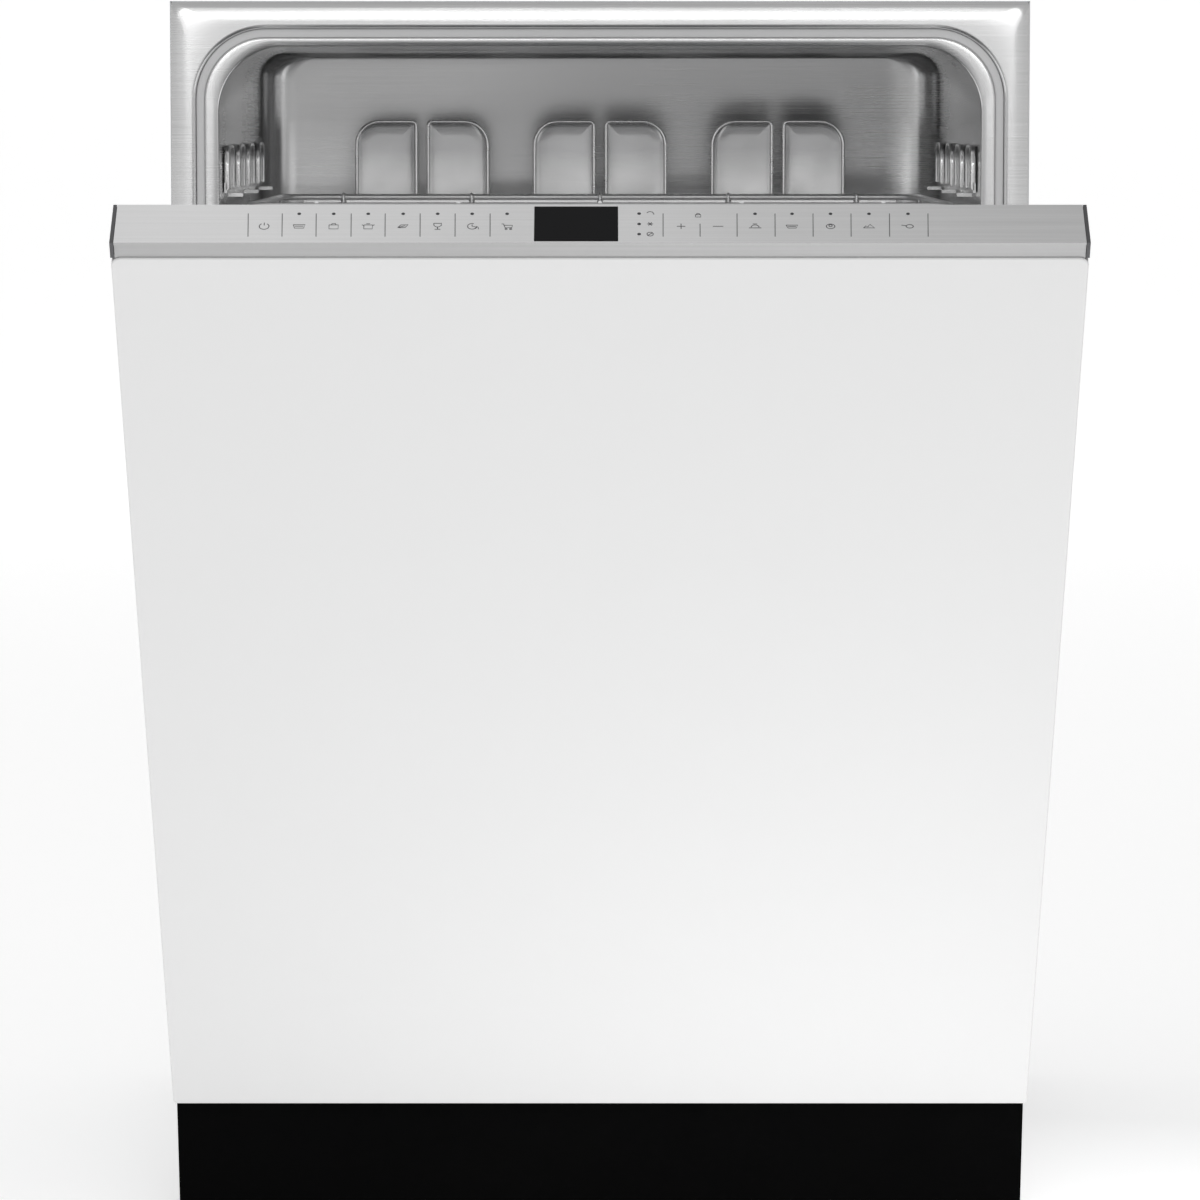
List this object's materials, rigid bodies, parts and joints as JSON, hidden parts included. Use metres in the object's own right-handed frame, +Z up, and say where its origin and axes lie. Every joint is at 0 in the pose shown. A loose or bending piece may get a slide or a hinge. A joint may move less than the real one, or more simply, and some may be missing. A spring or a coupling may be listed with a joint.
{
  "type": "built in dishwasher",
  "caption": "Built-in dishwasher with a tilting door, top-edge control panel, stainless tub, sliding racks, turning spray arms and a black kick plate.",
  "frame": {"origin": "on the floor, at the centre of the box that holds the machine with its door 35.8 degrees open", "axes": "+X to the right seen from the front, the door's front faces -Y, +Z up; +Y runs to the back"},
  "size_m": [0.598, 1.0042, 0.847],
  "materials": {
    "stainless": "brushed satin",
    "liner_steel": "brushed satin",
    "galvanised_steel": "dull zinc",
    "white_enamel": "satin white enamel",
    "silver_fascia": "satin silver",
    "fascia_cap": "satin",
    "display_glass": "gloss black",
    "board": "solder mask",
    "black_kick": "matt black",
    "black_plastic": "moulded",
    "dark_plastic": "moulded",
    "grey_plastic": "moulded",
    "white_plastic": "moulded",
    "smoke_plastic": "translucent smoke",
    "seal_rubber": "matt",
    "coated_wire": "nylon-coated wire"
  },
  "bodies": {
    "cabinet": {"tub": "stainless", "door_seal": "seal_rubber", "side_panel_left": "galvanised_steel", "side_panel_right": "galvanised_steel", "top_panel": "galvanised_steel", "back_panel": "galvanised_steel", "kick_plate": "black_kick", "base_tray": "dark_plastic", "hinge_bracket_left": "galvanised_steel", "hinge_bracket_right": "galvanised_steel", "door_spring_left": "galvanised_steel", "door_spring_right": "galvanised_steel", "sump": "dark_plastic", "filter_plate": "stainless", "water_softener": "grey_plastic", "wash_pump": "dark_plastic", "drain_pump": "grey_plastic", "inlet_valve": "white_plastic", "terminal_box": "dark_plastic", "feed_pipe": "grey_plastic", "upper_rail_bracket_left": "stainless", "upper_rail_bracket_right": "stainless"},
    "door": {"door_outer_panel": "white_enamel", "door_inner_liner": "liner_steel", "control_fascia": "silver_fascia", "fascia_end_cap_left": "fascia_cap", "fascia_end_cap_right": "fascia_cap", "display_lens": "display_glass", "control_board": "board", "hinge_arm_left": "galvanised_steel", "hinge_arm_right": "galvanised_steel", "dispenser_body": "grey_plastic"},
    "upper_rack": {"upper_rack": "coated_wire", "upper_feed_tube": "grey_plastic"},
    "lower_rack": {"lower_rack": "coated_wire"},
    "door_latch": {"door_latch": "black_plastic"},
    "dispenser_lid": {"dispenser_lid": "grey_plastic"},
    "rinse_aid_cap": {"rinse_aid_cap": "dark_plastic"},
    "upper_rail_left": {"upper_rail_left": "stainless"},
    "upper_rail_right": {"upper_rail_right": "stainless"},
    "upper_spray_arm": {"upper_spray_arm": "grey_plastic"},
    "cup_shelf_left": {"cup_shelf_left": "smoke_plastic"},
    "cup_shelf_right": {"cup_shelf_right": "smoke_plastic"},
    "glass_holder_left": {"glass_holder_left": "smoke_plastic"},
    "glass_holder_middle": {"glass_holder_middle": "smoke_plastic"},
    "glass_holder_right": {"glass_holder_right": "smoke_plastic"},
    "lower_spray_arm": {"lower_spray_arm": "grey_plastic"},
    "cutlery_basket": {"cutlery_basket": "grey_plastic"},
    "tine_row_left": {"tine_row_left": "coated_wire"},
    "tine_row_right": {"tine_row_right": "coated_wire"},
    "lower_wheel_front_left": {"lower_wheel_front_left": "grey_plastic"},
    "lower_wheel_rear_left": {"lower_wheel_rear_left": "grey_plastic"},
    "lower_wheel_front_right": {"lower_wheel_front_right": "grey_plastic"},
    "lower_wheel_rear_right": {"lower_wheel_rear_right": "grey_plastic"},
    "filter_cup": {"filter_cup": "grey_plastic"},
    "salt_cap": {"salt_cap": "dark_plastic"},
    "foot_front_left": {"foot_front_left": "black_plastic"},
    "foot_rear_left": {"foot_rear_left": "black_plastic"},
    "foot_front_right": {"foot_front_right": "black_plastic"},
    "foot_rear_right": {"foot_rear_right": "black_plastic"}
  },
  "joints": [
    {"name": "door_hinge", "type": "hinge", "parent": "cabinet", "child": "door", "pos_m": [0, -0.04848, 0.095], "axis": [1, 0, 0], "range_deg": [-35.8, 54.2], "deforming": ["door_spring_left", "door_spring_right"]},
    {"name": "latch_pivot", "type": "hinge", "parent": "door", "child": "door_latch", "pos_m": [0, -0.45598, 0.67711], "axis": [-1, 0, 0], "range_deg": [0, 10], "stiffness_Nm_per_rad": 0.5},
    {"name": "dispenser_flap", "type": "hinge", "parent": "door", "child": "dispenser_lid", "pos_m": [-0.05, -0.24354, 0.4364], "axis": [-1, 0, 0], "range_deg": [0, 100]},
    {"name": "rinse_cap_turn", "type": "hinge", "parent": "door", "child": "rinse_aid_cap", "pos_m": [0.055, -0.2709, 0.47092], "axis": [0, 0.8111, 0.585], "range_deg": [0, 90]},
    {"name": "upper_rack_slide", "type": "slide", "parent": "cabinet", "child": "upper_rack", "axis": [0, -1, 0], "range_m": [0, 0.26]},
    {"name": "upper_rail_left_slide", "type": "slide", "parent": "cabinet", "child": "upper_rail_left", "axis": [0, -1, 0], "range_m": [0, 0.13]},
    {"name": "upper_rail_right_slide", "type": "slide", "parent": "cabinet", "child": "upper_rail_right", "axis": [0, -1, 0], "range_m": [0, 0.13]},
    {"name": "upper_spray_spin", "type": "hinge", "parent": "upper_rack", "child": "upper_spray_arm", "pos_m": [0, 0.21212, 0.5255], "axis": [0, 0, 1], "continuous": true},
    {"name": "cup_shelf_left_fold", "type": "hinge", "parent": "upper_rack", "child": "cup_shelf_left", "pos_m": [-0.2605, 0.21712, 0.7125], "axis": [0, 1, 0], "range_deg": [0, 90]},
    {"name": "cup_shelf_right_fold", "type": "hinge", "parent": "upper_rack", "child": "cup_shelf_right", "pos_m": [0.2605, 0.21712, 0.7125], "axis": [0, -1, 0], "range_deg": [0, 90]},
    {"name": "glass_holder_left_fold", "type": "hinge", "parent": "upper_rack", "child": "glass_holder_left", "pos_m": [-0.138, 0.41362, 0.7125], "axis": [1, 0, 0], "range_deg": [0, 90]},
    {"name": "glass_holder_middle_fold", "type": "hinge", "parent": "upper_rack", "child": "glass_holder_middle", "pos_m": [0, 0.41362, 0.7125], "axis": [1, 0, 0], "range_deg": [0, 90]},
    {"name": "glass_holder_right_fold", "type": "hinge", "parent": "upper_rack", "child": "glass_holder_right", "pos_m": [0.138, 0.41362, 0.7125], "axis": [1, 0, 0], "range_deg": [0, 90]},
    {"name": "lower_rack_slide", "type": "slide", "parent": "cabinet", "child": "lower_rack", "axis": [0, -1, 0], "range_m": [0, 0.055]},
    {"name": "lower_spray_spin", "type": "hinge", "parent": "cabinet", "child": "lower_spray_arm", "pos_m": [0, 0.22712, 0.183], "axis": [0, 0, 1], "continuous": true},
    {"name": "basket_lift", "type": "slide", "parent": "lower_rack", "child": "cutlery_basket", "axis": [0, 0, 1], "range_m": [0, 0.09]},
    {"name": "tine_row_left_fold", "type": "hinge", "parent": "lower_rack", "child": "tine_row_left", "pos_m": [-0.1, 0.21712, 0.2125], "axis": [0, -1, 0], "range_deg": [0, 90]},
    {"name": "tine_row_right_fold", "type": "hinge", "parent": "lower_rack", "child": "tine_row_right", "pos_m": [0.04, 0.21712, 0.2125], "axis": [0, -1, 0], "range_deg": [0, 90]},
    {"name": "wheel_front_left_roll", "type": "hinge", "parent": "lower_rack", "child": "lower_wheel_front_left", "pos_m": [-0.239, 0.06712, 0.1725], "axis": [1, 0, 0], "continuous": true},
    {"name": "wheel_rear_left_roll", "type": "hinge", "parent": "lower_rack", "child": "lower_wheel_rear_left", "pos_m": [-0.239, 0.37712, 0.1725], "axis": [1, 0, 0], "continuous": true},
    {"name": "wheel_front_right_roll", "type": "hinge", "parent": "lower_rack", "child": "lower_wheel_front_right", "pos_m": [0.239, 0.06712, 0.1725], "axis": [1, 0, 0], "continuous": true},
    {"name": "wheel_rear_right_roll", "type": "hinge", "parent": "lower_rack", "child": "lower_wheel_rear_right", "pos_m": [0.239, 0.37712, 0.1725], "axis": [1, 0, 0], "continuous": true},
    {"name": "filter_turn", "type": "hinge", "parent": "cabinet", "child": "filter_cup", "pos_m": [0.052, 0.25712, 0.14], "axis": [0, 0, 1], "range_deg": [0, 90]},
    {"name": "salt_cap_turn", "type": "hinge", "parent": "cabinet", "child": "salt_cap", "pos_m": [-0.19, 0.08212, 0.155], "axis": [0, 0, 1], "range_deg": [0, 180]},
    {"name": "foot_front_left_thread", "type": "slide", "parent": "cabinet", "child": "foot_front_left", "axis": [0, 0, -1], "range_m": [0, 0.028]},
    {"name": "foot_rear_left_thread", "type": "slide", "parent": "cabinet", "child": "foot_rear_left", "axis": [0, 0, -1], "range_m": [0, 0.028]},
    {"name": "foot_front_right_thread", "type": "slide", "parent": "cabinet", "child": "foot_front_right", "axis": [0, 0, -1], "range_m": [0, 0.028]},
    {"name": "foot_rear_right_thread", "type": "slide", "parent": "cabinet", "child": "foot_rear_right", "axis": [0, 0, -1], "range_m": [0, 0.028]}
  ],
  "couplings": [
    {"joint": "upper_rail_left_slide", "follows": "upper_rack_slide", "ratio": 0.5},
    {"joint": "upper_rail_right_slide", "follows": "upper_rack_slide", "ratio": 0.5}
  ]
}
